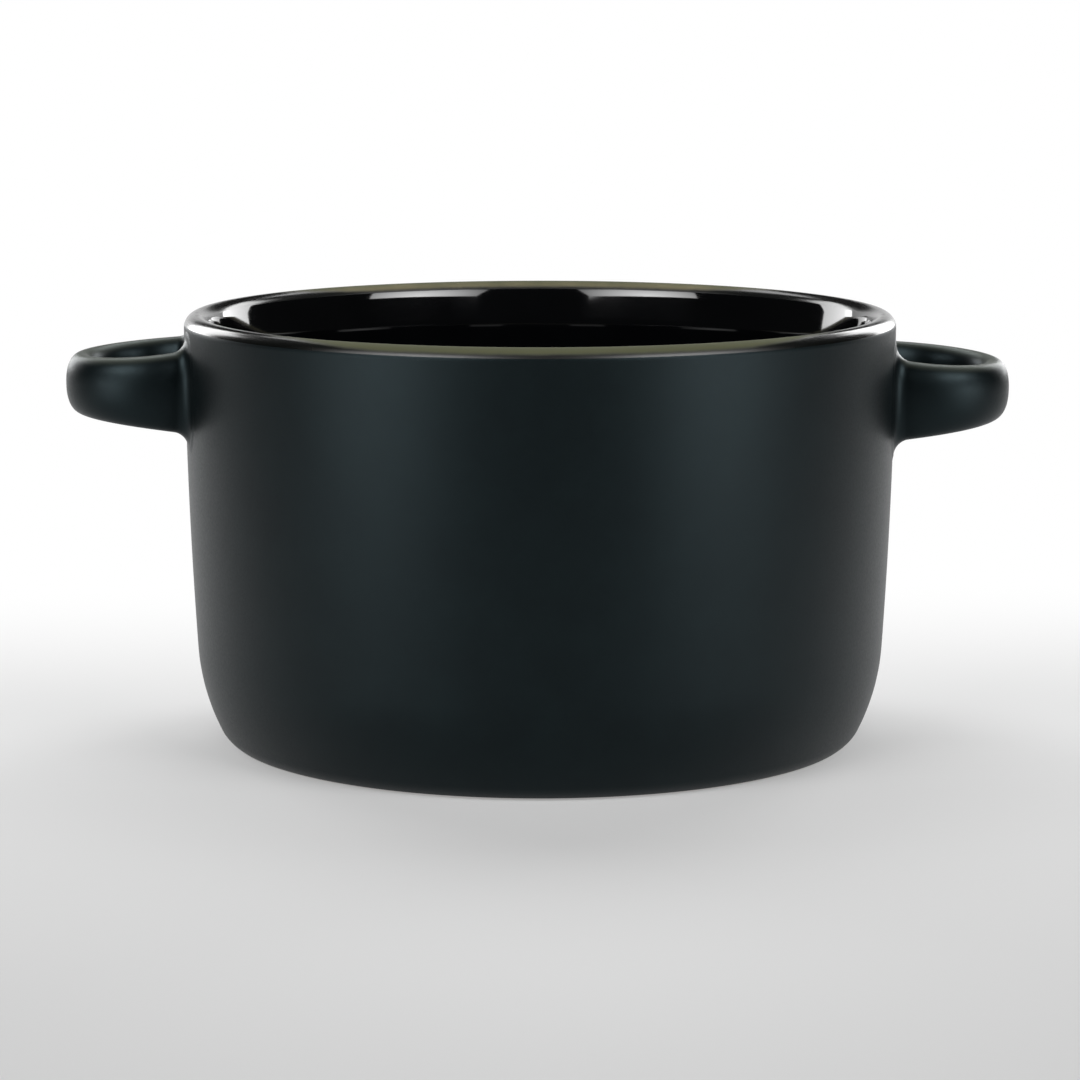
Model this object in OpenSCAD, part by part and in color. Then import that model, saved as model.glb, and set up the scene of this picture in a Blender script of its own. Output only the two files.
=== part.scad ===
// Onion soup crock: a straight-sided stoneware bowl with two loop handles luted to its wall.
// Millimetres, +Z up. The origin is the centre of the foot ring, on the table; the handles point along X.

/* [Crock] */
// Outside diameter at the rim, over the glaze
rim_d = 127; // [110:0.5:150]
// Height from the table to the crest of the lip, over the glaze
crock_h = 76.8; // [68:0.1:95]
// Thickness of the lip, over the glaze on both faces
lip_t = 4.5; // [3.5:0.1:6]
// How much thicker the wall is below the lip
swell_t = 1.2; // [0.9:0.1:2]
// Angle from upright at which the inside tapers from the lip to the wall
taper_a = 11; // [8:0.5:14]
// Thickness of the stoneware floor
floor_t = 5; // [3.5:0.1:8]
// Radius of the slight outward bow of the wall, seen in profile
bow_r = 950; // [600:10:2500]
// Radius of the inside corner between wall and floor
corner_r = 12; // [6:0.5:18]

/* [Heel and foot] */
// Height at which the wall turns into the heel
heel_h = 17; // [13:0.5:22]
// Radius of the heel
heel_r = 37.6; // [30:0.2:46]
// Radius of the tight turn between the heel and the table
turn_r = 5; // [3:0.1:6]
// Angle from upright at which that turn meets the table
turn_a = 80; // [65:1:88]
// Width of the flat of the foot ring
foot_w = 4.2; // [3:0.1:8]
// Depth of the recess inside the foot ring
recess_h = 1.6; // [1:0.1:3]

/* [Glaze] */
// Thickness of every coat of glaze
glaze_t = 0.4; // [0.2:0.05:0.7]
// Angle above level at which the rim glaze ends outside the lip
band_a = 16; // [5:1:50]
// Angle above level at which the rim glaze ends inside the lip
band_in_a = 22; // [20:1:50]
// Height above the table at which the outside coat ends
glaze_stop = 0.4; // [0.2:0.1:1.5]

/* [Handles] */
// How far a loop stands out from the rim, over the glaze
handle_reach = 21.1; // [18:0.1:28]
// Distance from the wall to the widest place of a loop
loop_seat = 6; // [4.5:0.1:7.5]
// Outside width of a loop, front to back, over the glaze
loop_w = 30; // [27:0.5:40]
// Thickness of a loop's strand, over the glaze
strand_t = 5.6; // [4.5:0.1:6.5]
// Height of the strand at the tip of the loop, over the glaze
strand_h = 10.5; // [8:0.1:14]
// Depth of the strand's top below the crest of the lip, at the tip
handle_drop = 7; // [6.4:0.1:14]
// How much the top of the strand rises toward the wall
root_rise = 1.7; // [0:0.1:2.2]
// How much the underside of the strand falls toward the wall
root_fall = 2.8; // [0:0.1:6]
// Squareness of the strand's section: 2 is an ellipse, more is boxier
squareness = 2.3; // [2:0.1:5]
// Radius of the fillet where a strand meets the wall
fillet_r = 2.6; // [1:0.1:3]
// Thickness of the slip between a strand and the wall
slip_t = 0.8; // [0.5:0.1:1.5]

/* [Hand setting] */
// How far the left handle leans down at its front
left_lean = 1.4; // [0:0.1:4]
// How far the right handle leans down at its front
right_lean = 3.1; // [0:0.1:4]
// How much lower than the left handle the right one is set
right_drop = 1.8; // [0:0.1:3]

/* [Hidden] */
$fn = 128;

// Colours
stoneware = "#b79a78";
gloss_black = "#0c0d10";
satin_black = "#2b3136";
rim_brown = "#5f5a45";
slip_brown = "#8d7256";

// Straight pieces in each round stretch of the profile
bow_steps = 8;
turn_steps = 6;
lip_steps = 12;
edge_steps = 3;
shoulder_steps = 2;

// Lip: a half circle on top of the wall
lip_r = lip_t / 2 - glaze_t;
lip_c = [rim_d / 2 - lip_t / 2, crock_h - lip_t / 2];

// Outside of the stoneware: bow, heel and turn are arcs that run into each other
bow_c = [lip_c.x + lip_r - bow_r, lip_c.y];
heel_a = asin((bow_c.y - heel_h) / bow_r);
heel_c = bow_c + (bow_r - heel_r) * [cos(heel_a), -sin(heel_a)];
under_a = asin((heel_c.y - turn_r * sin(turn_a)) / (heel_r - turn_r));
turn_c = heel_c + (heel_r - turn_r) * [cos(under_a), -sin(under_a)];
foot_r = turn_c.x + turn_r * cos(turn_a);
recess_r = foot_r - foot_w - recess_h;

// Inside of the stoneware under the lip: a shoulder rolls into the taper
shoulder_a = 20;
shoulder_r = 8;
shoulder_c = lip_c + (shoulder_r - lip_r) * [cos(shoulder_a), -sin(shoulder_a)];

// Then the taper is eased into the wall, which runs parallel to the bow
ease_r = 12;
wall_t = lip_t + swell_t;
inside_r = bow_r + 2 * glaze_t - wall_t;
taper_run = [-sin(taper_a), -cos(taper_a)];
taper_top = shoulder_c + shoulder_r * [-cos(taper_a), sin(taper_a)];
ease_top = taper_top + ease_r * [cos(taper_a), -sin(taper_a)] - bow_c;
ease_run = ease_top * taper_run;
taper_len = -ease_run - sqrt(ease_run * ease_run - ease_top * ease_top + pow(inside_r + ease_r, 2));
ease_c = bow_c + ease_top + taper_len * taper_run;
ease_a = asin((bow_c.y - ease_c.y) / (inside_r + ease_r));

// And the wall runs down to a rounded corner
floor_z = recess_h + floor_t;
corner_a = asin((bow_c.y - floor_z - corner_r) / (inside_r - corner_r));
corner_c = bow_c + (inside_r - corner_r) * [cos(corner_a), -sin(corner_a)];

// Loop: an ellipse in plan that sinks into the wall
loop_top = crock_h - handle_drop;
loop_mid = loop_top - strand_h / 2;
seat_r = bow_c.x + sqrt(bow_r * bow_r - pow(bow_c.y - loop_mid, 2));
loop_x = seat_r + loop_seat;
loop_a = rim_d / 2 + handle_reach - strand_t / 2 - loop_x;
loop_b = (loop_w - strand_t) / 2;
// Depth to which the strands run on inside the wall before they are cut off on its face
root_run = 1.5;
// Distance from the wall over which the sections turn to lie along it
swing_len = 6;
// Sections from the tip to the fillet, sections in the fillet, and points around a section
strand_rings = 12;
fillet_rings = 5;
section_points = 20;

// Points of an arc about c from angle a0 to angle a1
function arc(c, r, a0, a1, steps) =
    [for (i = [0:steps]) let (a = a0 + (a1 - a0) * i / steps) c + r * [cos(a), sin(a)]];

// A list without its first point, to join two arcs at a shared point
function rest(list) = [for (i = [1:len(list) - 1]) list[i]];

function reverse(list) = [for (i = [len(list) - 1:-1:0]) list[i]];

// Angle of the turn at the height where the outside coat ends, with coat g on it
function stop_a(g) = -asin((turn_c.y - glaze_stop) / (turn_r + g));

// Outside of the wall from the glaze stop up to the lip, with coat g on it
function wall_face(g) = concat(
    arc(turn_c, turn_r + g, stop_a(g), -under_a, turn_steps),
    rest(arc(heel_c, heel_r + g, -under_a, -heel_a, bow_steps)),
    rest(arc(bow_c, bow_r + g, -heel_a, 0, bow_steps))
);

// The same with the edge of the lip, up to the rim band
function outer_face(g) = concat(
    wall_face(g),
    rest(arc(lip_c, lip_r + g, 0, band_a, edge_steps))
);

// Lip between the two edges of the rim band, with coat g on it
function rim_face(g) = arc(lip_c, lip_r + g, band_a, 180 - band_in_a, lip_steps);

// Inside face from the rim band down to the centre of the floor, with coat g on it
function liner_face(g) = concat(
    arc(lip_c, lip_r + g, 180 - band_in_a, 180 - shoulder_a, 1),
    rest(arc(shoulder_c, shoulder_r + g, 180 - shoulder_a, 180 - taper_a, shoulder_steps)),
    arc(ease_c, ease_r + g, 180 - taper_a, 180 - ease_a, edge_steps),
    rest(arc(bow_c, inside_r - g, -ease_a, -corner_a, bow_steps)),
    rest(arc(corner_c, corner_r - g, -corner_a, -90, bow_steps)),
    [[0, floor_z + g]]
);

// Section of the stoneware, from the centre of the recess round the outside to the centre of the floor
body_section = concat(
    [[0, recess_h], [recess_r, recess_h], [recess_r + recess_h, 0]],
    arc(turn_c, turn_r, -turn_a, stop_a(0), edge_steps),
    rest(outer_face(0)),
    rest(rim_face(0)),
    rest(liner_face(0))
);

// Section of a coat between a face and the same face grown by the glaze
function coat_section(inner, outer) = concat(outer, reverse(inner));

// Place on the loop's middle line at plan angle p, which is 0 at the tip
function loop_point(p) = [loop_x + loop_a * cos(p), loop_b * sin(p)];

// Plan angle at which the middle line is at distance d from the wall
function loop_angle(d) =
    let (
        k2 = loop_a * loop_a - loop_b * loop_b,
        k1 = 2 * loop_x * loop_a,
        k0 = loop_x * loop_x + loop_b * loop_b - pow(seat_r + d, 2)
    )
    acos(-2 * k0 / (k1 + sqrt(k1 * k1 - 4 * k2 * k0)));

// Growth of the section in the fillet at distance d from the wall
function fillet(d) =
    let (inward = fillet_r + glaze_t - max(glaze_t, min(d, glaze_t + fillet_r)))
    fillet_r - sqrt(fillet_r * fillet_r - inward * inward);

// Rounded wave from 1 to -1 that gives the section its squareness
function section_wave(x) = sign(x) * pow(abs(x), 2 / squareness);

// Radius of the bare wall at height z
function wall_x(z) = bow_c.x + sqrt(bow_r * bow_r - pow(bow_c.y - z, 2));

// One section of the strand at plan angle p, with coat g on it, which wraps onto the wall at the root
function strand_ring(p, g) =
    let (
        c = loop_point(p),
        d = norm(c) - seat_r,
        square_a = atan2(sin(p) / loop_b, cos(p) / loop_a),
        along_a = atan2(c.y, c.x) + 90 * sign(p),
        held = max(0, min(1, 1 - (d - glaze_t) / swing_len)),
        swing_a = (along_a - square_a) * held,
        across = [cos(square_a + swing_a), sin(square_a + swing_a)],
        near = pow(p / loop_angle(0), 2),
        skin = fillet(d) + g - glaze_t,
        half_t = strand_t / 2 / cos(swing_a) + skin,
        top = loop_top + root_rise * near + skin,
        bottom = loop_top - strand_h - root_fall * near - skin
    )
    [for (i = [0:section_points - 1])
        let (
            q = 360 * i / section_points,
            xy = c + across * half_t * section_wave(cos(q)),
            z = (top + bottom) / 2 + (top - bottom) / 2 * section_wave(sin(q)),
            pull = 1 + ((wall_x(z) + d) / norm(xy) - 1) * pow(held, 4)
        )
        [xy.x * pull, xy.y * pull, z]];

// Plan angles of the sections: along the free strand, and from the fillet into the wall
strand_angles = [for (i = [0:strand_rings]) loop_angle(glaze_t + fillet_r) * i / strand_rings];
function root_angles(g) = concat(
    [for (i = [1:fillet_rings]) loop_angle(glaze_t + fillet_r * (1 - sin(90 * i / fillet_rings)))],
    [loop_angle(g - root_run)]
);
function loop_angles(g) =
    let (half = concat(strand_angles, root_angles(g)))
    concat(-reverse(rest(half)), half);

// Closed skin through sections that all have the same number of points
module loft(rings) {
    n = len(rings[0]);
    last = len(rings) - 1;
    polyhedron(
        points = [for (r = rings) each r],
        faces = concat(
            [for (i = [1:n - 2]) [0, i + 1, i]],
            [for (k = [0:last - 1], i = [0:n - 1]) [k * n + i, k * n + (i + 1) % n, (k + 1) * n + i]],
            [for (k = [0:last - 1], i = [0:n - 1])
                [k * n + (i + 1) % n, (k + 1) * n + (i + 1) % n, (k + 1) * n + i]],
            [for (i = [1:n - 2]) [last * n, last * n + i, last * n + i + 1]]
        )
    );
}

// Whole loop with coat g, in the axes of the right handle
module loop_form(g) {
    loft([for (p = loop_angles(g)) strand_ring(p, g)]);
}

// Root of one strand with coat g: side is -1 at the front and 1 at the back
module root_form(g, side) {
    angles = concat([strand_angles[strand_rings]], root_angles(g));
    loft([for (p = side > 0 ? angles : -reverse(angles)) strand_ring(p, g)]);
}

// Everything inside the outside of the stoneware wall grown by d, run on upright past the lip
module wall_core(d) {
    face = wall_face(d);
    edge_x = face[len(face) - 1].x;
    rotate_extrude()
        polygon(concat([[0, face[0].y]], face, [[edge_x, crock_h + wall_t], [0, crock_h + wall_t]]));
}

// Puts a loop in its place: side is -1 on the left and 1 on the right
module set_handle(side) {
    lean = side < 0 ? left_lean : right_lean;
    drop = side < 0 ? 0 : right_drop;
    mirror([side < 0 ? 1 : 0, 0, 0])
        translate([0, 0, loop_mid - drop])
            rotate([lean, 0, 0])
                translate([0, 0, -loop_mid])
                    children();
}

// Stoneware of one handle, cut off at the slip
module handle(side) {
    difference() {
        set_handle(side) loop_form(0);
        wall_core(slip_t);
    }
}

// Satin coat all round one handle, down to the wall
module handle_glaze(side) {
    difference() {
        set_handle(side) loop_form(glaze_t);
        set_handle(side) loop_form(0);
        wall_core(0);
    }
}

// Slip between the wall and one strand
module slip_joint(side, root) {
    difference() {
        intersection() {
            set_handle(side) root_form(0, root);
            wall_core(slip_t);
        }
        wall_core(0);
    }
}

module crock_body() {
    color(stoneware)
        rotate_extrude()
            polygon(body_section);
}

module liner_glaze() {
    color(gloss_black)
        rotate_extrude()
            polygon(coat_section(liner_face(0), liner_face(glaze_t)));
}

module rim_glaze() {
    color(rim_brown)
        rotate_extrude()
            polygon(coat_section(rim_face(0), rim_face(glaze_t)));
}

module outer_glaze() {
    color(satin_black)
        difference() {
            rotate_extrude()
                polygon(coat_section(outer_face(0), outer_face(glaze_t)));
            for (side = [-1, 1], root = [-1, 1])
                set_handle(side) root_form(glaze_t, root);
        }
}

module base_glaze() {
    color(gloss_black)
        translate([0, 0, recess_h - glaze_t])
            cylinder(h = glaze_t, r1 = recess_r + glaze_t, r2 = recess_r);
}

module left_handle() {
    color(stoneware) handle(-1);
}

module right_handle() {
    color(stoneware) handle(1);
}

module left_handle_glaze() {
    color(satin_black) handle_glaze(-1);
}

module right_handle_glaze() {
    color(satin_black) handle_glaze(1);
}

module left_front_slip_joint() {
    color(slip_brown) slip_joint(-1, -1);
}

module left_back_slip_joint() {
    color(slip_brown) slip_joint(-1, 1);
}

module right_front_slip_joint() {
    color(slip_brown) slip_joint(1, -1);
}

module right_back_slip_joint() {
    color(slip_brown) slip_joint(1, 1);
}

crock_body();
liner_glaze();
rim_glaze();
outer_glaze();
base_glaze();
left_handle();
right_handle();
left_handle_glaze();
right_handle_glaze();
left_front_slip_joint();
left_back_slip_joint();
right_front_slip_joint();
right_back_slip_joint();
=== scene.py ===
"""Looks of an onion soup crock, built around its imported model.

The crock is thrown stoneware: a straight wall on a rounded heel, a rounded lip and a loop handle
luted to each side. It is satin black outside and gloss black inside, and the gloss breaks to olive
brown on the lip. Sections and loops are worked out in millimetres, in the frame of the part, and
become metres with the mesh.
"""

import logging
import math
from collections.abc import Mapping, Sequence
from dataclasses import dataclass, field
from enum import Enum

import bmesh
import bpy
from mathutils import Matrix, Vector


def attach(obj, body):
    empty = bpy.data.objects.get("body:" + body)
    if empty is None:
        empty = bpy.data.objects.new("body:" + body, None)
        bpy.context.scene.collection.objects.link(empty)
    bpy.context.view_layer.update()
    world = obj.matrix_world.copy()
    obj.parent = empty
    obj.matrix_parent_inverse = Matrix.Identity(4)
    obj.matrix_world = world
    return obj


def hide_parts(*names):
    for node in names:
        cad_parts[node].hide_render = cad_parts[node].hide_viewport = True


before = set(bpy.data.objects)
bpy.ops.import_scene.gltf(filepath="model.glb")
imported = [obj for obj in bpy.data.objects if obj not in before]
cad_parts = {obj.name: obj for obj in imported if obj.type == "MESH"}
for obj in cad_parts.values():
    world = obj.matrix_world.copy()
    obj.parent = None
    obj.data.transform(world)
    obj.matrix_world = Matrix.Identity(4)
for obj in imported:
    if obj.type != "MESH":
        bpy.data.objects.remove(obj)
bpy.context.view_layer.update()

log = logging.getLogger("crock")

MM = 0.001
BODY = "root"
WHITE = (1.0, 1.0, 1.0, 1.0)

# Steps of a full turn on the wheel, and the angle in degrees from which an edge is shaded sharp.
WHEEL_STEPS = 256
SHARP_ANGLE = 35.0

# Distances in millimetres below which points count as the same, in a section and in a turned mesh.
TOUCH = 1e-5
MERGE = 1e-4

# Numbers of the colour sockets of a Mix node.
MIX_FACTOR, MIX_A, MIX_B = 0, 6, 7
MIX_RESULT = 2

Point = tuple[float, float]
Span = tuple[float, float]


class Side(Enum):
    """Which handle of the crock, by the sign of its X."""

    LEFT = -1
    RIGHT = 1


class Slot(Enum):
    """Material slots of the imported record."""

    STONEWARE = "stoneware"
    SLIP = "slip"
    GLOSS = "gloss_glaze"
    SATIN = "satin_glaze"
    RIM = "rim_glaze"


def linear(code: str) -> tuple[float, float, float, float]:
    """Turn an sRGB hex colour into linear RGBA, by the curve of the sRGB standard.

    Args:
        code: Colour as "#rrggbb".

    Returns:
        Linear red, green and blue, with an alpha of 1.
    """
    shares = [int(code[i:i + 2], 16) / 255 for i in (1, 3, 5)]
    red, green, blue = (
        s / 12.92 if s <= 0.04045 else ((s + 0.055) / 1.055) ** 2.4 for s in shares)
    return red, green, blue, 1.0


def per_mm(size: float) -> float:
    """Scale of a texture on Object coordinates whose features are this many millimetres wide."""
    return 1 / (size * MM)


def add_node(
    tree: bpy.types.NodeTree,
    kind: str,
    inputs: Mapping[str | int, object] | None = None,
    **settings: object,
) -> bpy.types.Node:
    """Add one node to a tree.

    Args:
        tree: Tree that gets the node.
        kind: Blender's name of the node type.
        inputs: Values or sockets for its inputs, by name or number; a socket is linked.
        **settings: Properties of the node.

    Returns:
        The new node.
    """
    node = tree.nodes.new(kind)
    for name, value in settings.items():
        setattr(node, name, value)
    for name, value in (inputs or {}).items():
        if isinstance(value, bpy.types.NodeSocket):
            tree.links.new(value, node.inputs[name])
        else:
            node.inputs[name].default_value = value
    return node


def new_tree(name: str) -> tuple[bpy.types.Material, bpy.types.NodeTree]:
    """Make a material with an empty node tree.

    Args:
        name: Name of the material.

    Returns:
        The material and its tree.
    """
    material = bpy.data.materials.new(name)
    material.use_nodes = True
    material.node_tree.nodes.clear()
    return material, material.node_tree


@dataclass(frozen=True)
class SatinGlaze:
    """Satin black glaze: fine crystals in the fired surface scatter the light into soft sheens.

    The eye gets a cool charcoal with faint cloudy mottling, and a grain that only shows close up.
    Surfaces that face up get a painted highlight: a pale olive grey is mixed into the colour
    there, where it stands for light from above. The index is below that of glass, because the
    crystals break up part of the mirror light. They are finer than the grain here, which is as
    coarse as it needs to be to show. Depths are in millimetres.
    """

    name: str = "satin_black_glaze"
    deep: str = "#010304"
    pale: str = "#04090a"
    # Pale olive grey of the painted highlight on surfaces that face up.
    thin_glaze_and_highlight: str = "#454942"
    sheen_tint: str = "#cceaf3"
    ior: float = 1.34
    roughness: float = 0.41
    roughness_swing: float = 0.04
    cloud_mm: float = 9.0
    cloud_detail: float = 4.0
    cloud_gain: float = 0.55
    cloud_range: Span = (0.3, 0.7)
    grain_mm: float = 0.45
    grain_detail: float = 2.0
    grain_range: Span = (0.25, 0.75)
    grain_strength: float = 0.15
    grain_depth: float = 0.02
    ripple_mm: float = 14.0
    ripple_detail: float = 1.0
    ripple_strength: float = 0.25
    ripple_depth: float = 0.06
    # Range of the upward normal, and its noise, over which the painted highlight comes in.
    highlight_range: Span = (0.5, 1.05)
    highlight_ragged: float = 0.15

    def material(self) -> bpy.types.Material:
        """Build the node material."""
        material, tree = new_tree(self.name)
        spot = add_node(tree, "ShaderNodeTexCoord")
        place = spot.outputs["Object"]
        cloud = add_node(tree, "ShaderNodeTexNoise", {
            "Vector": place, "Scale": per_mm(self.cloud_mm),
            "Detail": self.cloud_detail, "Roughness": self.cloud_gain})
        grain = add_node(tree, "ShaderNodeTexNoise", {
            "Vector": place, "Scale": per_mm(self.grain_mm), "Detail": self.grain_detail})
        ripple = add_node(tree, "ShaderNodeTexNoise", {
            "Vector": place, "Scale": per_mm(self.ripple_mm), "Detail": self.ripple_detail})
        share = add_node(tree, "ShaderNodeMapRange", {
            "Value": cloud.outputs["Fac"],
            "From Min": self.cloud_range[0], "From Max": self.cloud_range[1]})
        black = add_node(tree, "ShaderNodeMix", {
            MIX_FACTOR: share.outputs["Result"],
            MIX_A: linear(self.deep), MIX_B: linear(self.pale)}, data_type="RGBA")
        # Painted highlight: the pale olive grey is mixed in where the surface faces up, as if lit
        # from above.
        facing = add_node(tree, "ShaderNodeSeparateXYZ", {"Vector": spot.outputs["Normal"]})
        ragged = add_node(tree, "ShaderNodeMath", {
            0: cloud.outputs["Fac"], 1: self.highlight_ragged, 2: facing.outputs["Z"]},
            operation="MULTIPLY_ADD")
        edge = add_node(tree, "ShaderNodeMapRange", {
            "Value": ragged.outputs["Value"],
            "From Min": self.highlight_range[0], "From Max": self.highlight_range[1]},
            interpolation_type="SMOOTHSTEP")
        colour = add_node(tree, "ShaderNodeMix", {
            MIX_FACTOR: edge.outputs["Result"],
            MIX_A: black.outputs[MIX_RESULT], MIX_B: linear(self.thin_glaze_and_highlight)}, data_type="RGBA")
        rough = add_node(tree, "ShaderNodeMapRange", {
            "Value": grain.outputs["Fac"],
            "From Min": self.grain_range[0], "From Max": self.grain_range[1],
            "To Min": self.roughness - self.roughness_swing,
            "To Max": self.roughness + self.roughness_swing})
        waves = add_node(tree, "ShaderNodeBump", {
            "Height": ripple.outputs["Fac"], "Strength": self.ripple_strength,
            "Distance": self.ripple_depth * MM})
        skin = add_node(tree, "ShaderNodeBump", {
            "Height": grain.outputs["Fac"], "Strength": self.grain_strength,
            "Distance": self.grain_depth * MM, "Normal": waves.outputs["Normal"]})
        shader = add_node(tree, "ShaderNodeBsdfPrincipled", {
            "Base Color": colour.outputs[MIX_RESULT], "Roughness": rough.outputs["Result"],
            "IOR": self.ior, "Specular Tint": linear(self.sheen_tint),
            "Normal": skin.outputs["Normal"]})
        add_node(tree, "ShaderNodeOutputMaterial", {"Surface": shader.outputs["BSDF"]})
        return material


@dataclass(frozen=True)
class GlossGlaze:
    """Gloss black glaze: it melted to glass and levelled.

    The eye gets a deep black that mirrors the lights with softly wavy edges. Depths are in
    millimetres.
    """

    name: str = "gloss_black_glaze"
    deep: str = "#020203"
    pale: str = "#060708"
    ior: float = 1.52
    roughness: float = 0.05
    roughness_range: Span = (0.8, 1.3)
    cloud_mm: float = 12.0
    cloud_detail: float = 3.0
    cloud_range: Span = (0.3, 0.7)
    wave_mm: float = 16.0
    wave_detail: float = 1.0
    wave_strength: float = 0.25
    wave_depth: float = 0.3

    def material(self) -> bpy.types.Material:
        """Build the node material."""
        material, tree = new_tree(self.name)
        place = add_node(tree, "ShaderNodeTexCoord").outputs["Object"]
        cloud = add_node(tree, "ShaderNodeTexNoise", {
            "Vector": place, "Scale": per_mm(self.cloud_mm), "Detail": self.cloud_detail})
        wave = add_node(tree, "ShaderNodeTexNoise", {
            "Vector": place, "Scale": per_mm(self.wave_mm), "Detail": self.wave_detail})
        colour = add_node(tree, "ShaderNodeMix", {
            MIX_FACTOR: cloud.outputs["Fac"],
            MIX_A: linear(self.deep), MIX_B: linear(self.pale)}, data_type="RGBA")
        rough = add_node(tree, "ShaderNodeMapRange", {
            "Value": cloud.outputs["Fac"],
            "From Min": self.cloud_range[0], "From Max": self.cloud_range[1],
            "To Min": self.roughness * self.roughness_range[0],
            "To Max": self.roughness * self.roughness_range[1]})
        bump = add_node(tree, "ShaderNodeBump", {
            "Height": wave.outputs["Fac"], "Strength": self.wave_strength,
            "Distance": self.wave_depth * MM})
        shader = add_node(tree, "ShaderNodeBsdfPrincipled", {
            "Base Color": colour.outputs[MIX_RESULT], "Roughness": rough.outputs["Result"],
            "IOR": self.ior, "Normal": bump.outputs["Normal"]})
        add_node(tree, "ShaderNodeOutputMaterial", {"Surface": shader.outputs["BSDF"]})
        return material


@dataclass(frozen=True)
class BreakingGlaze:
    """Gloss glaze that ran thin on the lip.

    The eye gets a dry olive brown on the crest, paler in clouds towards the inside, and black
    below, where the glaze pooled. It lies thicker towards the handles, so the lip turns black and
    glossier there. Heights, radii, run_range and depths are in millimetres.
    """

    crest_z: float
    middle_r: float
    lip_r: float
    name: str = "breaking_rim_glaze"
    thin_glaze_and_highlight: str = "#7e755a"
    brown: str = "#44462d"
    pooled: str = "#040504"
    ior: float = 1.52
    thin_roughness: float = 0.9
    roughness: float = 0.36
    thick_roughness: float = 0.18
    fall_share: float = 0.78
    run_range: Span = (28.0, 53.0)
    run: float = 0.7
    pool_range: Span = (0.38, 0.80)
    thin_range: Span = (0.85, 1.45)
    streak_mm: float = 2.2
    streak_detail: float = 3.0
    streak_ragged: float = 0.12
    cloud_mm: float = 7.0
    cloud_detail: float = 2.0
    cloud_mottle: float = 0.5
    cloud_strength: float = 0.2
    cloud_depth: float = 0.12

    def material(self) -> bpy.types.Material:
        """Build the node material."""
        material, tree = new_tree(self.name)
        place = add_node(tree, "ShaderNodeTexCoord").outputs["Object"]
        parts = add_node(tree, "ShaderNodeSeparateXYZ", {"Vector": place})
        level = add_node(tree, "ShaderNodeCombineXYZ", {
            "X": parts.outputs["X"], "Y": parts.outputs["Y"]})
        radius = add_node(
            tree, "ShaderNodeVectorMath", {0: level.outputs["Vector"]}, operation="LENGTH")
        streak = add_node(tree, "ShaderNodeTexNoise", {
            "Vector": place, "Scale": per_mm(self.streak_mm), "Detail": self.streak_detail})
        cloud = add_node(tree, "ShaderNodeTexNoise", {
            "Vector": place, "Scale": per_mm(self.cloud_mm), "Detail": self.cloud_detail})
        fall = add_node(tree, "ShaderNodeMapRange", {
            "Value": parts.outputs["Z"], "From Min": self.crest_z * MM,
            "From Max": (self.crest_z - self.fall_share * self.lip_r) * MM})
        inward = add_node(tree, "ShaderNodeMapRange", {
            "Value": radius.outputs["Value"], "From Min": (self.middle_r + self.lip_r) * MM,
            "From Max": (self.middle_r - self.lip_r) * MM})
        aside = add_node(
            tree, "ShaderNodeMath", {0: parts.outputs["X"]}, operation="ABSOLUTE")
        run = add_node(tree, "ShaderNodeMapRange", {
            "Value": aside.outputs["Value"], "From Min": self.run_range[0] * MM,
            "From Max": self.run_range[1] * MM, "To Max": self.run},
            interpolation_type="SMOOTHSTEP")
        depth = add_node(tree, "ShaderNodeMath", {
            0: fall.outputs["Result"], 1: run.outputs["Result"]}, operation="ADD")
        ragged = add_node(tree, "ShaderNodeMath", {
            0: streak.outputs["Fac"], 1: self.streak_ragged, 2: depth.outputs["Value"]},
            operation="MULTIPLY_ADD")
        pool = add_node(tree, "ShaderNodeMapRange", {
            "Value": ragged.outputs["Value"],
            "From Min": self.pool_range[0], "From Max": self.pool_range[1]},
            interpolation_type="SMOOTHSTEP")
        mottled = add_node(tree, "ShaderNodeMath", {
            0: cloud.outputs["Fac"], 1: self.cloud_mottle, 2: inward.outputs["Result"]},
            operation="MULTIPLY_ADD")
        thin_glaze_and_highlight = add_node(tree, "ShaderNodeMapRange", {
            "Value": mottled.outputs["Value"],
            "From Min": self.thin_range[0], "From Max": self.thin_range[1]})
        tone = add_node(tree, "ShaderNodeMix", {
            MIX_FACTOR: thin_glaze_and_highlight.outputs["Result"],
            MIX_A: linear(self.brown), MIX_B: linear(self.thin_glaze_and_highlight)}, data_type="RGBA")
        colour = add_node(tree, "ShaderNodeMix", {
            MIX_FACTOR: pool.outputs["Result"],
            MIX_A: tone.outputs[MIX_RESULT], MIX_B: linear(self.pooled)}, data_type="RGBA")
        settled = add_node(tree, "ShaderNodeMapRange", {
            "Value": run.outputs["Result"], "From Max": self.run,
            "To Min": self.roughness, "To Max": self.thick_roughness})
        rough = add_node(tree, "ShaderNodeMapRange", {
            "Value": pool.outputs["Result"],
            "To Min": self.thin_roughness, "To Max": settled.outputs["Result"]})
        bump = add_node(tree, "ShaderNodeBump", {
            "Height": cloud.outputs["Fac"], "Strength": self.cloud_strength,
            "Distance": self.cloud_depth * MM})
        shader = add_node(tree, "ShaderNodeBsdfPrincipled", {
            "Base Color": colour.outputs[MIX_RESULT], "Roughness": rough.outputs["Result"],
            "IOR": self.ior, "Normal": bump.outputs["Normal"]})
        add_node(tree, "ShaderNodeOutputMaterial", {"Surface": shader.outputs["BSDF"]})
        return material


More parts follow.
